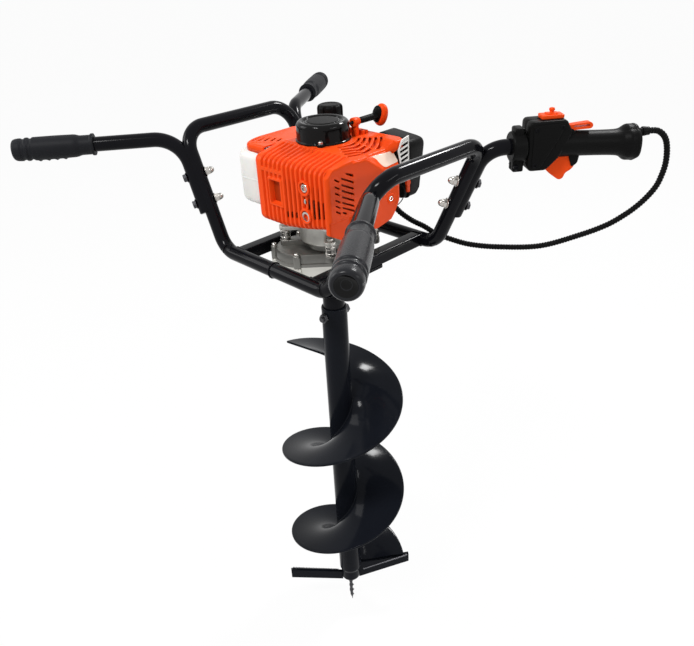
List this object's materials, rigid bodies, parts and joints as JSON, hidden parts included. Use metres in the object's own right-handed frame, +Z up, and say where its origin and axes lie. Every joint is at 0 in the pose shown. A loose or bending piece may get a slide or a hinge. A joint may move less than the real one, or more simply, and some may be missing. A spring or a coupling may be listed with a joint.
{
  "type": "earth auger",
  "caption": "Petrol earth auger: tube frame with a leaning loop and splayed handles on each side, engine and reduction gearbox in the middle, and a helical drill with cutter blades below.",
  "frame": {"origin": "tip of the pilot point on the drill's axis", "axes": "+Z up along the drill's axis, X from the left loop to the right loop, Y along the loops' top bars"},
  "size_m": [0.8333, 0.7243, 1.1426],
  "materials": {
    "black_paint": "gloss",
    "grip_rubber": "matt",
    "orange_plastic": "gloss",
    "black_plastic": "satin",
    "white_plastic": "translucent",
    "cast_aluminium": "as cast",
    "plated_steel": "polished",
    "dark_steel": "oiled"
  },
  "bodies": {
    "frame": {"frame_half_left": "black_paint", "frame_half_right": "black_paint", "cross_bars": "black_paint", "handle_tube_left": "black_paint", "handle_tube_back": "black_paint", "handle_tube_front": "black_paint", "handle_tube_throttle": "black_paint", "left_grip": "grip_rubber", "back_grip": "grip_rubber", "front_grip": "grip_rubber", "handle_fasteners": "plated_steel", "throttle_clamp": "black_plastic", "throttle_housing": "black_plastic", "throttle_cover": "black_plastic", "throttle_screws": "dark_steel", "cable_boots": "grip_rubber", "throttle_cable": "grip_rubber", "gearbox_lower": "cast_aluminium", "gearbox_upper": "cast_aluminium", "case_screws": "plated_steel", "shaft_bearings": "plated_steel", "clutch_housing": "cast_aluminium", "pillars": "cast_aluminium", "crankcase_lower": "cast_aluminium", "crankcase_upper": "cast_aluminium", "cylinder_block": "cast_aluminium", "spark_plug": "black_plastic", "muffler": "dark_steel", "muffler_guard": "orange_plastic", "top_shroud": "orange_plastic", "cylinder_cover": "orange_plastic", "recoil_housing": "black_plastic", "fuel_tank": "white_plastic", "carburettor": "cast_aluminium", "air_box": "black_plastic", "air_cover": "black_plastic", "starter_rope": "black_plastic"},
    "drill": {"output_shaft": "black_paint", "output_gear": "dark_steel", "drill_tube": "black_paint", "drill_flight": "black_paint", "cutter_blades": "black_paint", "pilot_point": "black_paint", "coupling_bolt": "plated_steel"},
    "counter": {"counter_shaft": "dark_steel"},
    "clutch": {"clutch_drum": "dark_steel"},
    "crank": {"crankshaft": "dark_steel", "flywheel": "cast_aluminium", "clutch_hub": "dark_steel"},
    "piston": {"piston": "cast_aluminium", "connecting_rod": "dark_steel"},
    "pulley": {"starter_pulley": "black_plastic"},
    "pull": {"starter_handle": "orange_plastic"},
    "trigger": {"throttle_trigger": "orange_plastic"},
    "lock": {"lock_lever": "orange_plastic"},
    "switch": {"kill_switch": "orange_plastic"},
    "cap": {"fuel_cap": "black_plastic"},
    "lever": {"throttle_lever": "plated_steel"},
    "choke": {"choke_lever": "orange_plastic"},
    "primer": {"primer_bulb": "grip_rubber"}
  },
  "joints": [
    {"name": "drill_spin", "type": "hinge", "parent": "frame", "child": "drill", "pos_m": [0, 0, 0.4], "axis": [0, 0, 1], "continuous": true},
    {"name": "counter_spin", "type": "hinge", "parent": "frame", "child": "counter", "pos_m": [-0.03334, -0.03453, 0.88], "axis": [0, 0, 1], "continuous": true},
    {"name": "clutch_spin", "type": "hinge", "parent": "frame", "child": "clutch", "pos_m": [0, 0, 0.95], "axis": [0, 0, 1], "continuous": true},
    {"name": "crank_spin", "type": "hinge", "parent": "frame", "child": "crank", "pos_m": [0, 0, 1.015], "axis": [0, 0, 1], "continuous": true},
    {"name": "piston_slide", "type": "slide", "parent": "frame", "child": "piston", "axis": [1, 0, 0], "range_m": [0, 0.034]},
    {"name": "starter_pull", "type": "slide", "parent": "frame", "child": "pull", "axis": [0, 1, 0], "range_m": [0, 0.6], "stiffness_N_per_m": 12, "deforming": ["starter_rope"]},
    {"name": "pulley_spin", "type": "hinge", "parent": "frame", "child": "pulley", "pos_m": [0, 0, 1.116], "axis": [0, 0, 1], "range_deg": [0, 1240]},
    {"name": "trigger_pull", "type": "hinge", "parent": "frame", "child": "trigger", "pos_m": [0.29083, 0.20392, 1.06828], "axis": [0.788, -0.6157, 0], "range_deg": [0, 14], "stiffness_Nm_per_rad": 0.4},
    {"name": "lever_turn", "type": "hinge", "parent": "frame", "child": "lever", "pos_m": [0.072, 0.07, 1], "axis": [0, 0, 1], "range_deg": [0, 36]},
    {"name": "lock_press", "type": "hinge", "parent": "frame", "child": "lock", "pos_m": [0.31299, 0.23228, 1.12228], "axis": [-0.788, 0.6157, 0], "range_deg": [0, 6], "stiffness_Nm_per_rad": 0.3},
    {"name": "switch_slide", "type": "slide", "parent": "frame", "child": "switch", "axis": [0.6157, 0.788, 0], "range_m": [0, 0.005]},
    {"name": "cap_turn", "type": "hinge", "parent": "frame", "child": "cap", "pos_m": [-0.095, 0.106, 1.098], "axis": [0, 0, 1], "continuous": true},
    {"name": "choke_turn", "type": "hinge", "parent": "frame", "child": "choke", "pos_m": [0.1, 0.093, 1.022], "axis": [-1, 0, 0], "range_deg": [0, 60]},
    {"name": "primer_press", "type": "slide", "parent": "frame", "child": "primer", "axis": [-1, 0, 0], "range_m": [0, 0.0025], "stiffness_N_per_m": 300}
  ],
  "couplings": [
    {"joint": "counter_spin", "follows": "drill_spin", "ratio": -5.4},
    {"joint": "clutch_spin", "follows": "drill_spin", "ratio": 29.16},
    {"joint": "pulley_spin", "follows": "starter_pull", "rad_per_m": 35.714},
    {"joint": "lever_turn", "follows": "trigger_pull", "ratio": 2.5}
  ]
}
